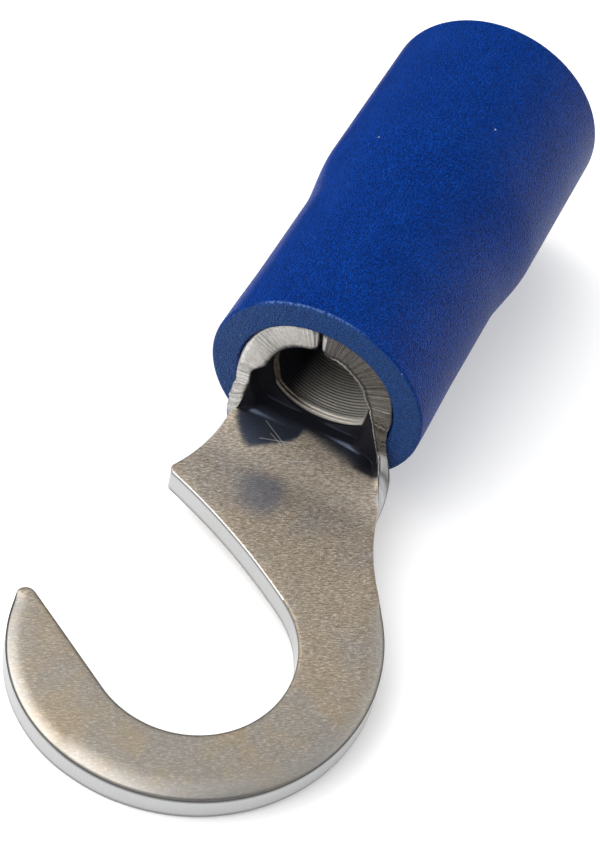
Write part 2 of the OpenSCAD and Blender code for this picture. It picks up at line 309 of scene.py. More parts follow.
# closed outline of the flat metal, metal on its left, from arcs and lines that touch or meet, with the
# name of its stretch for every point; the last number of a stretch is the spacing of its points
def blankOutline(m):
    rim = np.array(m["rimCentre"])
    angle = math.radians(m["tipAngle"])
    tip = rim + (m["rimR"] - m["tipR"]) * np.array([math.cos(angle), math.sin(angle)])
    along = np.array([math.cos(math.radians(m["fingerAngle"])), math.sin(math.radians(m["fingerAngle"]))])
    across = np.array([-along[1], along[0]])
    foot = (m["eyeR"] + m["tipRound"]) * across
    b = np.dot(foot - tip, along)
    k = np.dot(foot - tip, foot - tip) - (m["tipR"] - m["tipRound"]) ** 2
    tipEnd = foot + (math.sqrt(b * b - k) - b) * along
    corner = np.array([m["cutRightX"], m["barrelY"] - m["neckRight"]])
    neck = circlesMeet(rim, m["rimR"] + m["neckFillet"], corner, m["neckFillet"], -1)
    shoulderX = m["barrelX"] - m["shoulderRun"]
    leftY = m["barrelY"] + m["neckLeft"]
    shoulder = np.array([shoulderX, leftY + m["shoulderR"]])
    turn = math.radians(m["shankAngle"] + 180)
    bow = (m["bowR"] - m["eyeR"]) * np.array([math.cos(turn), math.sin(turn)])
    noseR = m["shoulderRound"]
    nose = circlesMeet(bow, m["bowR"] + noseR, shoulder, m["shoulderR"] + noseR, -1)
    half = math.pi * (m["boreR"] + m["sheet"] / 2) - m["seamGap"] / 2
    low = m["barrelY"] - half - m["seamShift"]
    high = m["barrelY"] + half - m["seamShift"]
    rear = m["barrelX"] + m["barrelLength"]
    front = m["barrelX"]
    c = m["cornerRound"]
    stretches = [
        ("cutRight", frontCut(m, -1, low + c)),
        ("notch", arcPoints((front + c, low + c), c, 180, 270, 0.03)),
        ("seam", linePoints((front + c, low), (rear - c, low), 0.08)),
        ("rear", arcPoints((rear - c, low + c), c, -90, 0, 0.03)),
        ("rear", linePoints((rear, low + c), (rear, high - c), 0.08)),
        ("seam", arcPoints((rear - c, high - c), c, 0, 90, 0.03)),
        ("seam", linePoints((rear - c, high), (front + c, high), 0.08)),
        ("notch", arcPoints((front + c, high - c), c, 90, 180, 0.03)),
        ("cutLeft", frontCut(m, 1, high - c)),
        ("neckLeft", linePoints((m["cutLeftX"], leftY), (shoulderX, leftY), 0.03)),
        ("neckLeft", arcPoints(shoulder, m["shoulderR"], -90, bearing(shoulder, nose), 0.04)),
        ("neckLeft", arcPoints(nose, noseR, bearing(nose, shoulder), bearing(nose, bow), 0.02)),
        ("shank", arcPoints(bow, m["bowR"], bearing(bow, nose), m["shankAngle"], 0.04)),
        ("eye", arcPoints((0, 0), m["eyeR"], m["shankAngle"], m["fingerAngle"] + 90 - 360, 0.04)),
        ("finger", linePoints(m["eyeR"] * across, tipEnd - m["tipRound"] * across, 0.05)),
        ("tip", arcPoints(tipEnd, m["tipRound"], m["fingerAngle"] - 90, bearing(tip, tipEnd), 0.02)),
        ("tipOuter", arcPoints(tip, m["tipR"], bearing(tip, tipEnd), m["tipAngle"], 0.04)),
        ("rim", arcPoints(rim, m["rimR"], m["tipAngle"], bearing(rim, neck) + 360, 0.05)),
        ("neckRight", arcPoints(neck, m["neckFillet"], bearing(neck, rim), bearing(neck, corner), 0.04)),
    ]
    points = np.concatenate([s[:-1] for n, s in stretches])
    kinds = np.concatenate([np.full(len(s) - 1, n) for n, s in stretches])
    keep = np.linalg.norm(points - np.roll(points, 1, 0), axis=1) > 1e-4
    return points[keep], kinds[keep]


# section across the metal at x: a flat floor of half width w, an arc of radius r, then a straight flank; w
# goes to nothing and r to the barrel's own, in one short fold on the left and slowly on the right
def sectionTurn(m, x, v):
    middle = m["boreR"] + m["sheet"] / 2
    endless = 100
    left = smoothStep(x, m["foldFrom"], m["foldTo"])
    wing = np.clip((x - m["wingFrom"]) / (m["wingTo"] - m["wingFrom"]), 0, 1) ** m["wingPower"]
    close = smoothStep(x, m["wingTo"], m["closeTo"])
    floorLeft = np.where(x > m["foldFrom"], m["floorLeft"] * (1 - left), endless)
    floorRight = (m["floorRight"] - (m["floorRight"] - m["floorWing"]) * wing) * (1 - close)
    floorRight = np.where(x > m["wingFrom"], floorRight, endless)
    w = np.where(v > 0, floorLeft, floorRight)
    bendLeft = m["foldR"] + (middle - m["foldR"]) * left
    bendRight = m["wingR"] + (middle - m["wingR"]) * close
    r = np.where(v > 0, bendLeft, bendRight)
    most = np.where(v > 0, m["foldTurn"], m["wingTurn"] + m["closeTurn"] * close)
    length = np.maximum(np.abs(v) - w, 0)
    turn = np.minimum(length / r, most)
    return w, r, turn, length - turn * r


# folds flat metal into the barrel: out along the floor, then round the arc, h above the middle of the metal
def foldAlone(m, x, v, h):
    w, r, turn, flank = sectionTurn(m, x, v)
    across = np.minimum(np.abs(v), w) + (r - h) * np.sin(turn) + flank * np.cos(turn)
    rise = m["sheet"] / 2 + r * (1 - np.cos(turn)) + h * np.cos(turn) + flank * np.sin(turn)
    return across, rise


# the same, with the mouth coined square: ahead of the bore's lip the inner skin keeps a flat floor out to a
# foot, and a straight wall joins the foot to the fold
def rollUp(m, x, y, h):
    c = m["mouth"]
    v = y - m["barrelY"]
    out = np.abs(v)
    across, rise = foldAlone(m, x, v, h)
    left = v > 0
    near = np.where(left, smoothStep(x, *c["nearLeft"]), smoothStep(x, *c["nearRight"]))
    far = smoothStep(x, *c["far"])
    wing = smoothStep(x, *c["wing"])
    footLeft = c["footLeft"] - c["nearLossLeft"] * near - c["farLossLeft"] * far
    footRight = c["footRight"] - c["wingLoss"] * wing - c["nearLossRight"] * near - c["farLossRight"] * far
    foot = np.where(left, footLeft, footRight)
    flatTo = np.where(left, c["flatLeft"] - c["flatLoss"] * near, c["flatRight"] - c["flatLoss"] * wing)
    wallTo = flatTo + c["wallRun"]
    topAcross, topRise = foldAlone(m, x, np.where(left, wallTo, -wallTo), h)
    floorRise = m["sheet"] / 2 + h
    up = np.clip((out - flatTo) / (wallTo - flatTo), 0, 1)
    boxAcross = np.where(out < flatTo, out * foot / flatTo, foot + (topAcross - foot) * up)
    boxRise = floorRise + (topRise - floorRise) * up
    past = np.where(left, c["lipLeft"], c["lipRight"]) * smoothStep(x, *c["lip"])
    part = np.clip(h / m["sheet"] + 0.5, 0, 1) * (out < wallTo) * (1 - past)
    part = part * (1 - smoothStep(x, *c["fade"]))
    part = part * np.where(left, smoothStep(x, *c["fromLeft"]), smoothStep(x, *c["fromRight"]))
    across = across + part * (boxAcross - across)
    rise = rise + part * (boxRise - rise)
    return np.stack([x, m["barrelY"] + np.sign(v) * across, rise], -1)


# a cosine along the barrel that repeats with each fine groove
def grooveWave(m, s):
    return np.cos((s - m["grooveAt"]) / m["groovePitch"] * 2 * math.pi)


# depth taken off the inner skin: a relieved mouth, a lip of two lands, fine grooves behind it, a flared
# rear, and thinner metal at the wings
def boreDepth(m, x, y):
    s = x - m["barrelX"]
    v = y - m["barrelY"]
    relief = m["relief"] * band(s, m["reliefRise"], m["reliefFall"])
    land = m["landGroove"] * np.exp(-((s - m["landAt"]) / m["landWidth"]) ** 2)
    behind = m["behind"] * band(s, m["behindRise"], m["behindFall"])
    fine = m["groove"] * (0.5 - 0.5 * grooveWave(m, s)) * band(s, m["grooveRise"], m["grooveFall"])
    flare = m["flare"] * smoothStep(s, *m["flareRise"])
    bell = np.exp(-((s - m["thinRightAt"]) / m["thinRightRun"]) ** 2)
    thin = m["thinRight"] * bell * band(-v, *m["thinRightV"])
    thin = thin + m["thinLeft"] * band(s, *m["thinLeftS"]) * band(v, *m["thinLeftV"])
    return relief + land + behind + fine + flare + thin


# depth taken off the outer skin, where the right wing is drawn thin
def wingDepth(m, x, y):
    v = y - m["barrelY"]
    return m["thinOuter"] * band(x, *m["thinOuterX"]) * smoothStep(-v, *m["thinOuterV"])


# even-odd test of points against a closed outline
def insideOutline(points, outline):
    ax, ay = outline.T
    bx, by = np.roll(outline, -1, 0).T
    px = points[:, 0:1]
    py = points[:, 1:2]
    spans = (ay > py) != (by > py)
    cross = ax + (py - ay) * (bx - ax) / np.where(by == ay, 1e-12, by - ay)
    return (np.sum(spans & (px < cross), 1) % 2) == 1


# distance from each point to the nearest point of an outline, worked out a block at a time
def nearestDistance(points, outline):
    blocks = 24
    out = np.full(len(points), np.inf)
    for block in np.array_split(np.arange(len(outline)), blocks):
        d = points[:, None, :] - outline[None, block, :]
        out = np.minimum(out, np.sqrt((d ** 2).sum(2)).min(1))
    return out


# values round a closed outline, averaged with bell-shaped weights
def blurRound(values):
    reach = 16
    kernel = np.hanning(reach + 1)
    kernel /= kernel.sum()
    wrapped = np.concatenate([values[-reach:], values, values[:reach]])
    return np.convolve(wrapped, kernel, "same")[reach:-reach]


# loops from the upper skin to the lower one, each as a distance back from the outline, a height above the
# middle of the metal and a share of wall: an arc, a wall with its marks, and a quarter circle
def edgeLoops(m, kinds, s, lean, torn):
    wide, drop, under = (blurRound(np.array([m["edges"][k][i] for k in kinds])) for i in range(3))
    wide = wide + lean
    top = m["sheet"] / 2
    tilt = np.radians(90 - (90 - m["rollTilt"]) * lean / m["rollLean"])
    loops = []
    for share in np.linspace(0, 1, upperLoops):
        back = lean + (wide - lean) * (1 - np.sin(tilt * share) / np.sin(tilt))
        loops.append((back, top - drop * (1 - np.cos(tilt * share)) / (1 - np.cos(tilt)), 0.0))
    ridge = ripple(s, *m["tornRidge"]) + ripple(s, *m["tornSweep"])
    wave = m["waveLeast"] + ripple(s, *m["wave"])
    pick, pickLength, pickSeed = m["tornPick"]
    for level in np.linspace(0, 1, wallLoops):
        seed = pickSeed + int(level * (wallLoops - 1))
        rough = ripple(s + level * m["pickDrift"], pick, pickLength, seed)
        height = (top - drop - m["creaseDepth"]) * (1 - level) + (-top + under) * level
        crease = m["creaseDepth"] * np.exp(-(level / m["creaseRun"]) ** 2)
        loops.append((crease + wave + lean * (1 - level) - torn * (ridge + rough), height, 1.0))
    for turn in np.radians(lowerTurns):
        loops.append((wave + under * (1 - np.cos(turn)), -top + under * (1 - np.sin(turn)), 0.5))
    return loops


# points inside the inset outline: coarse on the hook, finer at the fold, finest along the grooves
def fillPoints(m, inset):
    fill = []
    for columns, rows, gap in m["grids"]:
        gx, gy = np.meshgrid(np.concatenate([np.arange(*part) for part in columns]), np.arange(*rows))
        grid = np.stack([gx.ravel(), gy.ravel()], 1)
        grid = grid[insideOutline(grid, inset)]
        fill.append(grid[nearestDistance(grid, inset) > gap])
    return np.concatenate(fill)


# triangles between flat points, the first ones being the outline, turned to face up
def skinTriangles(flat, count):
    made = delaunay_2d_cdt([tuple(p) for p in flat.tolist()], [], [list(range(count))], 1, 1e-7)
    source = np.array([o[0] for o in made[3]])
    triangles = source[np.array(made[2])]
    a, b, c = flat[triangles[:, 0]], flat[triangles[:, 1]], flat[triangles[:, 2]]
    area = (b[:, 0] - a[:, 0]) * (c[:, 1] - a[:, 1]) - (b[:, 1] - a[:, 1]) * (c[:, 0] - a[:, 0])
    triangles[area < 0] = triangles[area < 0][:, ::-1]
    return triangles


# four-sided faces between each loop and the next, then the triangles of the upper and the lower skin
def joinFaces(count, total, inside, triangles):
    ring = np.arange(count)
    after = np.roll(ring, -1)
    faces = []
    for here in range(0, (total - 1) * count, count):
        below = here + count
        faces.extend(np.stack([here + ring, below + ring, below + after, here + after], 1).tolist())
    filled = total * count + np.arange(inside)
    upperSkin = np.concatenate([ring, filled])
    lowerSkin = np.concatenate([(total - 1) * count + ring, filled + inside])
    faces.extend(upperSkin[triangles].tolist())
    faces.extend(lowerSkin[triangles][:, ::-1].tolist())
    return faces


# painted shade, painted light and painted reflection of the skins by place, and the darker hook end:
# products of smooth steps along x and across v, kept to the inner skin
def finishZones(m, x, v, inner):
    z = m["zones"]
    wallLeft = smoothStep(v, *z["wallLeftV"]) * smoothStep(x, *z["wallLeftX"])
    wallRight = 0.8 * smoothStep(x, *z["wallRightX"]) + 0.2 * smoothStep(x, *z["wallRightEnd"])
    wall = np.where(v > 0, wallLeft, smoothStep(-v, *z["wallRightV"]) * wallRight)
    # the lower side of the bore, where light falls; it gets painted light and less painted shade
    lit = band(-v, *z["lit"])
    lip = smoothStep(x, *z["lipRise"]) * (1 - (1 - 0.7 * lit) * smoothStep(x, *z["lipFall"]))
    end = 0.7 * smoothStep(x, *z["floorEnd"]) + 0.3 * smoothStep(x, *z["boreStart"])
    crest = np.where(x > z["crestX"], 0.65 + 0.35 * grooveWave(m, x - m["barrelX"]), 1.0)
    ahead = x - np.interp(v, *np.array(m["paintedReflection"]).T)
    soft = np.where(v > 0, z["softLeft"], z["softRight"])
    # painted reflection: the floor ahead of the mouth, behind the listed border, is painted dark navy; its
    # bump and gloss change there too
    polishAndPaintedReflection = smoothStep(ahead, z["polishLead"], soft) * (1 - smoothStep(x, *z["polishFall"])) * inner
    return {
        "inBore": smoothStep(x, *z["inBore"]) * inner,
        # painted shade: dark on the mouth's walls and in the bore, lighter on the lip lands and on the
        # bore's lit side
        "shade": np.maximum(end, wall) * (1 - 0.72 * lip) * inner,
        "polishAndPaintedReflection": polishAndPaintedReflection,
        # painted light: a pale diffuse on the groove crests of the bore's lit side
        "matt": lit * crest * smoothStep(x, *z["matt"]) * inner,
        # painted light: a paler, rougher zone near the mouth, lighter where the sleeve keeps light off
        "roughAndPaintedLight": band(x, *z["roughAndPaintedLight"]) * (1 - polishAndPaintedReflection) * inner,
        # 1 towards the hook end, where the plate is darker and its grain fainter
        "towardsHook": 1 - smoothStep(x, *z["towardsHook"]),
    }


# the metal body: skins filled inside an inset outline, joined by loops that carry the edge's profile
def buildBody(m, material):
    outline, kinds = blankOutline(m)
    count = len(outline)
    ahead = np.roll(outline, -1, 0) - np.roll(outline, 1, 0)
    ahead /= np.linalg.norm(ahead, axis=1)[:, None]
    outward = np.stack([ahead[:, 1], -ahead[:, 0]], 1)
    steps = np.linalg.norm(np.roll(outline, -1, 0) - outline, axis=1)
    s = np.concatenate([[0], np.cumsum(steps)[:-1]])
    torn = np.isin(kinds, ("cutLeft", "cutRight")).astype(float)
    rolled = np.isin(kinds, ("rim", "tipOuter"))
    pressed = np.isin(kinds, ("eye", "finger"))
    shank = np.isin(kinds, "shank")
    ragged = np.isin(kinds, ("cutRight", "neckRight")) * smoothStep(outline[:, 0], *m["burrFrom"])
    lean = blurRound(m["rollLean"] * rolled)
    loops = edgeLoops(m, kinds, s, lean, torn)
    inset = outline - outward * loops[0][0][:, None]
    fill = fillPoints(m, inset)
    print("stage: metal outline of", count, "points,", len(fill), "inside")
    triangles = skinTriangles(np.concatenate([inset, fill]), count)

    top = m["sheet"] / 2
    total = len(loops)
    last = upperLoops - 1
    points = []
    marks = {"cutEdge": [], "inner": [], "crease": [], "burrHighlight": [], "paintedRollHighlight": []}
    for order, (back, height, wall) in enumerate(loops):
        place = outline - outward * np.broadcast_to(back, count)[:, None]
        part = (height + top) / (2 * top)
        height = height - boreDepth(m, *place.T) * part + wingDepth(m, *place.T) * (1 - part)
        if order in (last - 1, last):
            height = height + ragged * (m["burrLift"][0] + ripple(s, *m["burrLift"]))
        points.append(rollUp(m, place[:, 0], place[:, 1], height))
        upper = order <= last
        # painted shade: a dark band fading in along the eye and finger edges, and a dark line where the
        # rolled rim's rounding ends
        paintedEdgeShadeAndHighlight = pressed * (order / last) ** 2 * upper + rolled * (order == last)
        # painted contact shadow: a dark line along the foot of the walls
        foot = 0.7 * (1 - torn) * (order >= upperLoops + wallLoops - 1)
        # a real burr with a painted highlight: near-white on its rounding loops, and along the shank's edge
        jagged = ragged * (order > m["burrLoop"] + ripple(s, *m["burrWidth"])) * upper
        marks["cutEdge"].append(np.full(count, wall))
        marks["inner"].append(np.full(count, float(upper)))
        # painted shade: the band, the foot line and a dark line at the crease atop each wall
        marks["crease"].append(np.maximum(np.maximum(paintedEdgeShadeAndHighlight, foot), float(order == upperLoops)))
        marks["burrHighlight"].append(np.maximum(jagged, shank * (last - 3 <= order <= last)))
        # painted highlight on the rolled rim, strongest towards its outer edge
        marks["paintedRollHighlight"].append(lean / m["rollLean"] * (order / last) ** 1.5 * upper)
    points.append(rollUp(m, *fill.T, top - boreDepth(m, *fill.T)))
    points.append(rollUp(m, *fill.T, wingDepth(m, *fill.T) - top))
    plain = np.zeros(2 * len(fill))
    for name, values in marks.items():
        onSkins = np.repeat((1.0, 0.0), len(fill)) if name == "inner" else plain
        marks[name] = np.concatenate(values + [onSkins])

    x = np.concatenate([np.tile(outline[:, 0], total), fill[:, 0], fill[:, 0]])
    v = np.concatenate([np.tile(outline[:, 1], total), fill[:, 1], fill[:, 1]]) - m["barrelY"]
    tornAll = np.concatenate([np.tile(torn, total), plain])
    ridged = np.where(v > 0, 0.3 * (1 - smoothStep(v, *m["zones"]["ridgedV"])), 1.0)
    attributes = finishZones(m, x, v, marks.pop("inner"))
    attributes.update(marks)
    attributes["tornEdge"] = tornAll * (marks["cutEdge"] > 0)
    attributes["brown"] = ridged * tornAll
    attributes["cutRun"] = np.concatenate([np.tile(s, total), plain])
    faces = joinFaces(count, total, len(fill), triangles)
    piece = makePiece("hookTerminalBody", np.concatenate(points), faces, material, attributes)
    print("stage: metal body with", len(faces), "faces")
    return piece


# finish of the metal: colours as written in the render, places in millimetres
plate = {
    "grey": (0.355, 0.325, 0.288), "tan": (0.405, 0.332, 0.245),
    "hookGrey": (0.275, 0.257, 0.228), "hookTan": (0.322, 0.264, 0.185),
    "grainDark": (0.21, 0.175, 0.14), "grainPale": (0.70, 0.64, 0.56),
    "speckPale": (0.9, 0.87, 0.82), "speckDark": (0.12, 0.10, 0.08), "pit": (0.10, 0.075, 0.05),
    "shearedDark": (0.42, 0.43, 0.44), "shearedPale": (0.52, 0.52, 0.52),
    "tornDark": (0.40, 0.39, 0.37), "tornPale": (0.80, 0.78, 0.75),
    "ridgeDark": (0.027, 0.025, 0.025), "ridgePale": (0.20, 0.185, 0.17),
    "paintedLightPale": (0.95, 0.83, 0.68), "paintedLightDark": (0.50, 0.425, 0.34), "paintedReflection": (0.10, 0.135, 0.22),
    "paintedHighlight": (0.72, 0.71, 0.69), "scratch": (0.95, 0.93, 0.9), "crease": (0.02, 0.02, 0.02),
    "paintedReflectionSpot": (0.15, 0.165, 0.205), "paintedShade": (0.015, 0.018, 0.026), "burrHighlight": (0.88, 0.86, 0.83),
    "paintedShadeDiffuse": (0.012, 0.012, 0.015), "paintedLitCrest": (0.62, 0.60, 0.55),
    "grainTurn": 57.6, "grainStretch": 0.28, "grainScale": 34.0, "bumpDepth": 0.000014,
    "satinRoughness": 0.32, "brightRoughness": 0.1, "brightShare": 0.22, "reflectionSpotAt": (3.95, 0.4, 0.7),
    "scratches": (((5.82, 1.2, 0), (5.42, 0.55, 0)), ((5.3, 1.1, 0), (5.62, 0.3, 0)),
                  ((5.55, 0.95, 0), (5.38, 0.62, 0)), ((5.05, 0.3, 0), (5.3, -0.1, 0))),
}


# satin tin plate: grey and tan patches, fine cross grain, pits, paler sheared edges with marks across them,
# darker towards the hook end; painted dark reflections on the floor at the mouth and on the tongue, painted
# shade in the mouth and bore with painted light on the bore's lit side and near the mouth, painted
# highlights on the rolled rim and the burr, painted shade along creases and wall feet, laid over one another
# by their shares
def tinPlate(p):
    material, g = newMaterial("tinPlate")
    where = g.millimetres()
    cut = g.attribute("cutEdge")
    torn = g.attribute("tornEdge")
    crease = g.attribute("crease")
    bore = g.attribute("inBore")
    paintedShade = g.attribute("shade")
    polishAndPaintedReflection = g.attribute("polishAndPaintedReflection")
    matt = g.attribute("matt")
    roughAndPaintedLight = g.attribute("roughAndPaintedLight")
    run = g.attribute("cutRun")
    brown = g.attribute("brown")
    towardsHook = g.attribute("towardsHook")
    paintedRollHighlight = g.attribute("paintedRollHighlight")
    wide = g.noise(where, 0.5, 3.0, 0.6)
    patches = g.noise(where, 2.2, 4.0, 0.65)
    fine = g.noise(where, 14.0, 3.0, 0.7)
    speck = g.noise(where, 26.0, 3.0, 0.8)
    turn = (0, 0, math.radians(p["grainTurn"]))
    turned = g.node("ShaderNodeMapping", {}, {"Vector": where, "Rotation": turn})
    streak = g.node("ShaderNodeMapping", {}, {"Vector": turned, "Scale": (p["grainStretch"], 1, 1)})
    grain = g.noise(streak, p["grainScale"], 4.0, 0.75)
    marks = g.noiseAlong(run * 16.0, 3.0, 0.7)
    scores = g.noiseAlong(run * 7.0, 2.0)
    lines = marks * 0.5 + scores * 0.3 + fine * 0.2

    tan = g.step(wide * 0.65 + patches * 0.35, 0.4, 0.6)
    grainStrength = 1.1 - 0.6 * towardsHook
    pit = g.step(g.scatter(where, 2.6) + 0.05 * fine, 0.075, 0.045)
    sheared = g.mix(g.step(marks, 0.3, 0.7), p["shearedDark"], p["shearedPale"])
    tears = g.mix(g.step(lines, 0.4, 0.58), p["tornDark"], p["tornPale"])
    ridges = g.mix(g.step(lines, 0.42, 0.62), p["ridgeDark"], p["ridgePale"])
    paintedLightTone = g.mix(g.step(grain, 0.42, 0.58), p["paintedLightPale"], p["paintedLightDark"])
    # painted reflection: a bluish dark spot of the sleeve on the tongue
    paintedReflectionSpot = g.step(g.measure("DISTANCE", where, p["reflectionSpotAt"]) + 0.5 * patches, 1.05, 0.5)
    # painted highlight on the burr
    ragged = g.attribute("burrHighlight") * g.step(marks, 0.35, 0.5)
    base = g.layers(g.mix(tan, p["grey"], p["tan"]), (
        (towardsHook * 0.6, g.mix(tan, p["hookGrey"], p["hookTan"])),
        (g.step(grain, 0.5, 0.62) * 0.8 * grainStrength, p["grainDark"]),
        (g.step(grain, 0.47, 0.36) * 0.7 * grainStrength, p["grainPale"]),
        (g.step(speck, 0.64, 0.7) * 0.85 * grainStrength, p["speckPale"]),
        (g.step(speck, 0.35, 0.29) * 0.8 * grainStrength, p["speckDark"]),
        (pit * 0.8, p["pit"]),
        (cut * 0.92, sheared),
        (torn, g.mix(brown * 0.9, tears, ridges)),
        # painted light near the mouth
        (roughAndPaintedLight * 0.95, paintedLightTone),
        # painted reflection of the bore on the floor ahead of the mouth
        (polishAndPaintedReflection * 0.88, p["paintedReflection"]),
        # painted highlight on the rolled rim
        (paintedRollHighlight * 0.5, p["paintedHighlight"]),
    ))
    plan = g.node("ShaderNodeMapping", {}, {"Vector": where, "Scale": (1, 1, 0)})
    for start, end in p["scratches"]:
        base = g.mix(g.scratch(plan, start, end) * (1 - cut) * 0.9, base, p["scratch"])
    base = g.layers(base, (
        # painted shade in creases and at the feet of the walls
        (crease * 0.93, p["crease"]),
        # painted reflection spot
        (paintedReflectionSpot * 0.7, p["paintedReflectionSpot"]),
        # painted shade in the mouth and bore
        (paintedShade * 0.97, p["paintedShade"]),
        # painted highlight on the burr
        (ragged, p["burrHighlight"]),
    ))

    rough = p["satinRoughness"] + 0.12 * fine + torn * 0.06 + roughAndPaintedLight * 0.18
    height = (grain + 0.6 * speck) * grainStrength * (1 - cut * 0.85) * (1 - bore * 0.9) * (1 - polishAndPaintedReflection * 0.6)
    height = height + torn * (0.6 * fine + 1.4 * marks + 1.4 * scores) * 2.0
    bump = g.node("ShaderNodeBump", {}, {"Strength": 0.5, "Distance": p["bumpDepth"], "Height": height})
    satin = g.node("ShaderNodeBsdfPrincipled", {}, {
        "Base Color": base, "Metallic": 1.0, "Roughness": rough, "Normal": bump,
    })
    bright = g.node("ShaderNodeBsdfPrincipled", {}, {
        "Base Color": base, "Metallic": 1.0, "Roughness": p["brightRoughness"], "Normal": bump,
    })
    shader = g.node("ShaderNodeMixShader", {}, {0: p["brightShare"] - 0.2 * polishAndPaintedReflection, 1: satin, 2: bright})
    # painted shade: a dark diffuse laid over the metal in the mouth and bore, which hides its reflections
    paintedShadeDiffuse = g.node("ShaderNodeBsdfPrincipled", {}, {
        "Base Color": g.mix(matt, p["paintedShadeDiffuse"], p["paintedLitCrest"]), "Roughness": 1.0, "Specular IOR Level": 0.0,
    })
    # the pale diffuse on the lit side's groove crests is painted light
    share = paintedShade * paintedShade * 0.85 * (1 - ragged) * (1 - matt) + matt * 0.6
    shader = g.node("ShaderNodeMixShader", {}, {0: share, 1: shader, 2: paintedShadeDiffuse})
    g.node("ShaderNodeOutputMaterial", {}, {"Surface": shader})
    return material


# sizes of the sleeve in millimetres, and the angles in radians between which its front rim carries a painted
# highlight
sleeve = {
    "frontX": 6.22, "length": 10.28, "axisY": 0.4, "axisZ": 1.8, "frontR": 2.49, "rearR": 2.66,
    "waist": 0.03, "waistRun": (0.2, 2.2), "stepFrom": 4.3, "stepLength": 1.9, "rearWall": 0.5,
    "seatR": 1.82, "seatBevel": 0.04, "barrelLength": 4.88, "frontRound": 0.07, "rearRound": 0.12,
    "around": 288, "wallRows": 150, "paintedEdgeShadeAndHighlight": ((0.75, 1.0), (1.6, 2.0)), "faceDepth": 0.02,
}


# half section of the sleeve as (radius, distance from the front face), closed, front face first
def sleeveSection(p):
    front = p["frontRound"]
    rear = p["rearRound"]
    bevel = p["seatBevel"]
    stepEnd = p["stepFrom"] + p["stepLength"]
    rearTurn = p["length"] - rear
    wall = np.linspace(front, rearTurn, p["wallRows"])
    rise = smoothStep(wall, p["stepFrom"], stepEnd)
    waist = p["waist"] * smoothStep(wall, *p["waistRun"]) * (1 - rise)
    outer = np.stack([p["frontR"] + (p["rearR"] - p["frontR"]) * rise - waist, wall], 1)
    entry = p["rearR"] - p["rearWall"]
    face = linePoints((p["seatR"] + bevel, 0), (p["frontR"] - front, 0), 0.04)
    lead = arcPoints((p["frontR"] - front, front), front, -90, 0, 0.03)
    tail = arcPoints((p["rearR"] - rear, rearTurn), rear, 0, 90, 0.03)
    lip = arcPoints((entry + rear, rearTurn), rear, 90, 180, 0.03)
    inside = linePoints((entry, rearTurn), (entry, stepEnd), 0.3)
    funnel = linePoints((entry, stepEnd), (p["seatR"], p["barrelLength"]), 0.1)
    seat = linePoints((p["seatR"], p["barrelLength"]), (p["seatR"], bevel), 0.4)
    runs = (face, lead, outer, tail, lip, inside, funnel)
    return np.concatenate([run[:-1] for run in runs] + [seat])


# the sleeve: its half section carried round the barrel axis
def buildSleeve(p, material):
    section = sleeveSection(p)
    rows = len(section)
    width = p["around"]
    around = np.linspace(0, 2 * math.pi, width, endpoint=False)
    radius = section[:, 0][:, None] + np.zeros(width)
    along = section[:, 1][:, None] + np.zeros(width)
    points = np.stack([
        p["frontX"] + along,
        p["axisY"] + radius * np.cos(around),
        p["axisZ"] + radius * np.sin(around),
    ], -1).reshape(-1, 3)
    i = np.arange(rows)[:, None]
    j = np.arange(width)[None, :]
    nextI = (i + 1) % rows
    nextJ = (j + 1) % width
    faces = np.stack([i * width + j, i * width + nextJ, nextI * width + nextJ, nextI * width + j], -1)
    faces = faces.reshape(-1, 4)
    onRound = (along < p["frontRound"]) & (radius > p["frontR"] - 0.6 * p["frontRound"])
    attributes = {
        # painted highlight along part of the front rim's rounding
        "paintedEdgeShadeAndHighlight": (onRound * band(around, *p["paintedEdgeShadeAndHighlight"])).ravel(),
        # the front face, which carries a painted grey sheen
        "face": ((along < p["faceDepth"]) * 1.0).ravel(),
    }
    piece = makePiece("insulatingSleeve", points, faces.tolist(), material, attributes)
    print("stage: sleeve with", len(faces), "faces")
    return piece


# finish of the sleeve
vinyl = {
    "deep": (0.0006, 0.032, 0.24), "clear": (0.001, 0.042, 0.29), "paintedFaceSheen": (0.028, 0.075, 0.205),
    "paintedPebbleLight": (0.002, 0.08, 0.46), "pit": (0.0003, 0.004, 0.03), "paintedEdgeShadeAndHighlight": (0.12, 0.22, 0.45),
    "dust": (0.55, 0.6, 0.7), "sheen": (0.35, 0.7, 1.0),
    "pebbleScale": 26.0, "roughness": 0.34, "specular": 0.08, "bumpDepth": 0.00006,
}


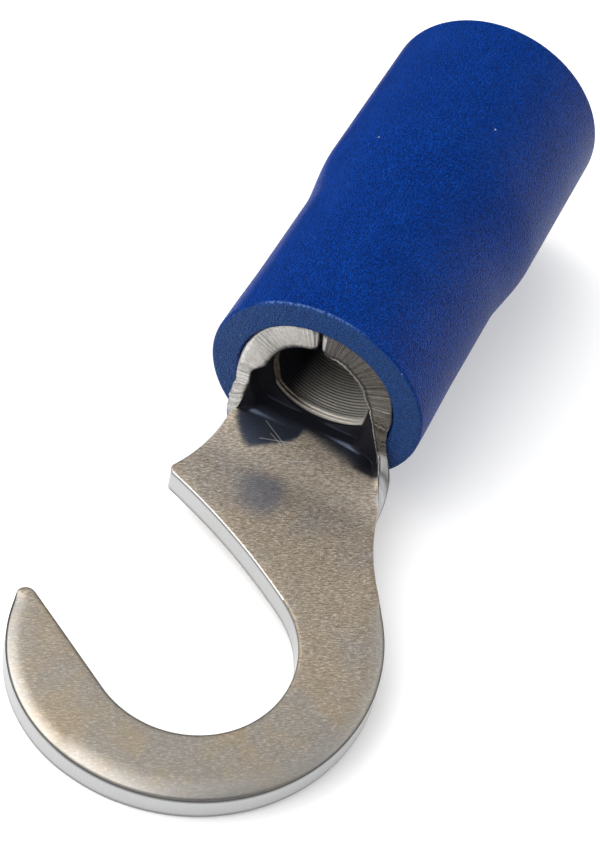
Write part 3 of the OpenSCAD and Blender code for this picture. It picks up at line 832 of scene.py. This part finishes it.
# blue vinyl: deep colour, fine pebbled grain with painted shade in its pits and painted light on its
# pebbles, a painted grey sheen on the front face, a painted highlight along part of the front rim, a few
# specks of dust
def blueVinyl(p):
    material, g = newMaterial("blueVinyl")
    where = g.millimetres()
    face = g.attribute("face")
    bend = g.node("ShaderNodeTexNoise", {}, {"Vector": where, "Scale": 6.0, "Detail": 1.0}, "Color")
    bent = g.node("ShaderNodeMix", {"data_type": "VECTOR"}, {0: 0.08, 4: where, 5: bend}, 1)
    sockets = {"Vector": bent, "Scale": p["pebbleScale"], "Smoothness": 0.15, "Randomness": 0.8}
    cells = g.node("ShaderNodeTexVoronoi", {"feature": "SMOOTH_F1"}, sockets, "Distance")
    tone = g.noise(where, 0.9, 4.0, 0.6)
    # painted highlight on the front rim, broken by noise
    paintedEdgeShadeAndHighlight = g.attribute("paintedEdgeShadeAndHighlight") * g.step(g.noise(where, 16.0, 3.0), 0.3, 0.6)
    dust = g.step(g.scatter(where, 1.15) + 0.03 * tone, 0.05, 0.03)
    base = g.layers(g.mix(g.step(tone, 0.3, 0.7), p["deep"], p["clear"]), (
        # painted sheen: the grey of the reflected floor on the front face
        (face * 0.8, p["paintedFaceSheen"]),
        # painted light on the pebble tops, painted shade in the pits between them
        (g.step(cells, 0.36, 0.12) * 0.5, p["paintedPebbleLight"]),
        (g.step(cells, 0.38, 0.58) * (0.6 - 0.2 * face), p["pit"]),
        (paintedEdgeShadeAndHighlight * 0.6, p["paintedEdgeShadeAndHighlight"]),
        (dust * 0.7, p["dust"]),
    ))
    height = cells + 0.2 * g.noise(where, 34.0, 2.0)
    sockets = {"Strength": 1.0, "Distance": p["bumpDepth"], "Height": height}
    bump = g.node("ShaderNodeBump", {"invert": True}, sockets)
    shader = g.node("ShaderNodeBsdfPrincipled", {}, {
        "Base Color": base, "Roughness": p["roughness"], "Specular IOR Level": p["specular"],
        "Specular Tint": p["sheen"], "Normal": bump,
    })
    g.node("ShaderNodeOutputMaterial", {}, {"Surface": shader})
    return material


body = buildBody(metal, tinPlate(plate))
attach(body, "root")
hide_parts("terminal_body")

tube = buildSleeve(sleeve, blueVinyl(vinyl))
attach(tube, "root")
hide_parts("insulating_sleeve")

# floor that the hook's front edge and the sleeve's front edge rest on, in millimetres; it ends at leftY
floorAt = {
    "frontX": -3.59, "frontZ": 0.0, "rearX": 6.29, "rearZ": -0.69, "half": 300, "leftY": 5.5, "below": 0.005,
    "colour": (0.8, 0.8, 0.8), "glow": 0.22,
}


# a white floor: matt to the light, with a glow that only the camera and reflections see
def paleFloor(f):
    material, g = newMaterial("paleFloor")
    matt = g.node("ShaderNodeBsdfDiffuse", {}, {"Color": f["colour"]})
    camera = g.node("ShaderNodeLightPath", {}, {}, "Is Camera Ray")
    gloss = g.node("ShaderNodeLightPath", {}, {}, "Is Glossy Ray")
    sockets = {"Color": (1, 1, 1), "Strength": (camera + gloss) * f["glow"]}
    glow = g.node("ShaderNodeEmission", {}, sockets)
    both = g.node("ShaderNodeAddShader", {}, {0: matt, 1: glow})
    g.node("ShaderNodeOutputMaterial", {}, {"Surface": both})
    return material


# one flat face on the line through the two resting places, level from side to side
def buildFloor(f):
    slope = (f["rearZ"] - f["frontZ"]) / (f["rearX"] - f["frontX"])
    xs = np.array([-f["half"], f["half"], f["half"], -f["half"]], float)
    ys = np.array([-f["half"], -f["half"], f["leftY"], f["leftY"]], float)
    zs = f["frontZ"] + (xs - f["frontX"]) * slope - f["below"]
    floor = makePiece("studioFloor", np.stack([xs, ys, zs], 1), [[0, 1, 2, 3]], paleFloor(f), {})


buildFloor(floorAt)
print("stage: floor")

# soft light of the studio: each patch as its direction and the cosines where it starts and is full, then its
# strength in reflections or in the fill; the lamp's place, target and size are in millimetres
studio = {
    "left": ((-0.6, 0.55, 0.58), 0.1, 0.9),
    "reflected": (
        (0.7, ((0.55, 0.1, 0.83), 0.7, 0.95)),
        (0.6, ((0.0, -0.82, 0.57), 0.86, 0.97)),
        (0.75, ((0.6, -0.77, 0.22), 0.7, 0.95)),
    ),
    "filling": ((0.8, ((0.2, -0.95, 0.2), 0.2, 0.9)), (2.0, ((0.1, 0.97, 0.1), 0.1, 0.9))),
    "hole": ((-0.35, -0.1, 0.93), 0.84, 0.94), "holeDepth": 0.7,
    "leastFill": 0.36, "leftFill": 0.25, "leastMirror": 0.03, "leftMirror": 0.8,
    "lampAt": (-80, 150, 245), "lampAim": (6, 0, 1), "lampSize": 380, "lampPower": 0.8,
}


# world: white to the camera; in reflections bright on the left, patches behind and on the right, and
# dark around the place the picture was taken from
def studioWorld(p):
    world = bpy.data.worlds.new("studioWorld")
    bpy.context.scene.world = world
    world.use_nodes = True
    g = Graph(world.node_tree)
    seen = g.node("ShaderNodeLightPath", {}, {}, "Is Camera Ray")
    gloss = g.node("ShaderNodeLightPath", {}, {}, "Is Glossy Ray")
    way = g.node("ShaderNodeTexCoord", {}, {}, "Generated")

    # 1 towards a direction, by the cosine of the angle to it
    def facing(patch):
        direction, low, high = patch
        return g.step(g.measure("DOT_PRODUCT", way, direction), low, high)

    left = facing(p["left"])
    fill = p["leastFill"] + p["leftFill"] * left
    for strength, patch in p["filling"]:
        fill = fill + strength * facing(patch)
    mirror = p["leastMirror"] + p["leftMirror"] * left
    for strength, patch in p["reflected"]:
        mirror = mirror + strength * facing(patch)
    mirror = mirror * (1 - p["holeDepth"] * facing(p["hole"]))
    soft = fill + gloss * (mirror - fill)
    light = g.node("ShaderNodeBackground", {}, {"Color": (1, 1, 1), "Strength": soft + seen * (1 - soft)})
    g.node("ShaderNodeOutputWorld", {}, {"Surface": light})


# puts an object at a place in millimetres, its own axes along three given directions
def placeObject(made, right, up, back, place):
    turn = np.eye(4)
    turn[:3, 0] = right
    turn[:3, 1] = up
    turn[:3, 2] = back
    turn[:3, 3] = np.array(place, float) * mm
    made.matrix_world = Matrix(turn.tolist())
    bpy.context.scene.collection.objects.link(made)


# a square soft panel lamp, its back turned away from the point it is aimed at
def panelLamp(name, place, target, size, power):
    data = bpy.data.lights.new(name, "AREA")
    data.shape = "RECTANGLE"
    data.size = size * mm
    data.size_y = size * mm
    data.energy = power
    back = np.array(place, float) - np.array(target, float)
    back /= np.linalg.norm(back)
    right = np.cross((0, 0, 1), back)
    right /= np.linalg.norm(right)
    placeObject(bpy.data.objects.new(name, data), right, np.cross(back, right), back, place)


studioWorld(studio)
panelLamp("keyPanel", studio["lampAt"], studio["lampAim"], studio["lampSize"], studio["lampPower"])
print("stage: light")

# camera measured from the picture: place in millimetres, two directions and focal length
cameraAt = {
    "place": (-21.923, -6.511, 37.331), "forward": (0.600, 0.150, -0.786), "right": (0.427, -0.891, 0.156),
    "lens": 90.02, "sensor": 36, "clipStart": 0.001, "clipEnd": 10,
}


# the camera looks forward, with its right squared to that and its up square to both
def makeCamera(c):
    data = bpy.data.cameras.new("photoCamera")
    data.sensor_width = c["sensor"]
    data.sensor_fit = "AUTO"
    data.lens = c["lens"]
    data.clip_start = c["clipStart"]
    data.clip_end = c["clipEnd"]
    camera = bpy.data.objects.new("photoCamera", data)
    forward = np.array(c["forward"]) / np.linalg.norm(c["forward"])
    right = np.array(c["right"]) - np.dot(c["right"], forward) * forward
    right /= np.linalg.norm(right)
    placeObject(camera, right, np.cross(right, forward), -forward, c["place"])
    bpy.context.scene.camera = camera


makeCamera(cameraAt)
bpy.context.scene.view_settings.view_transform = "Standard"
print("stage: camera")
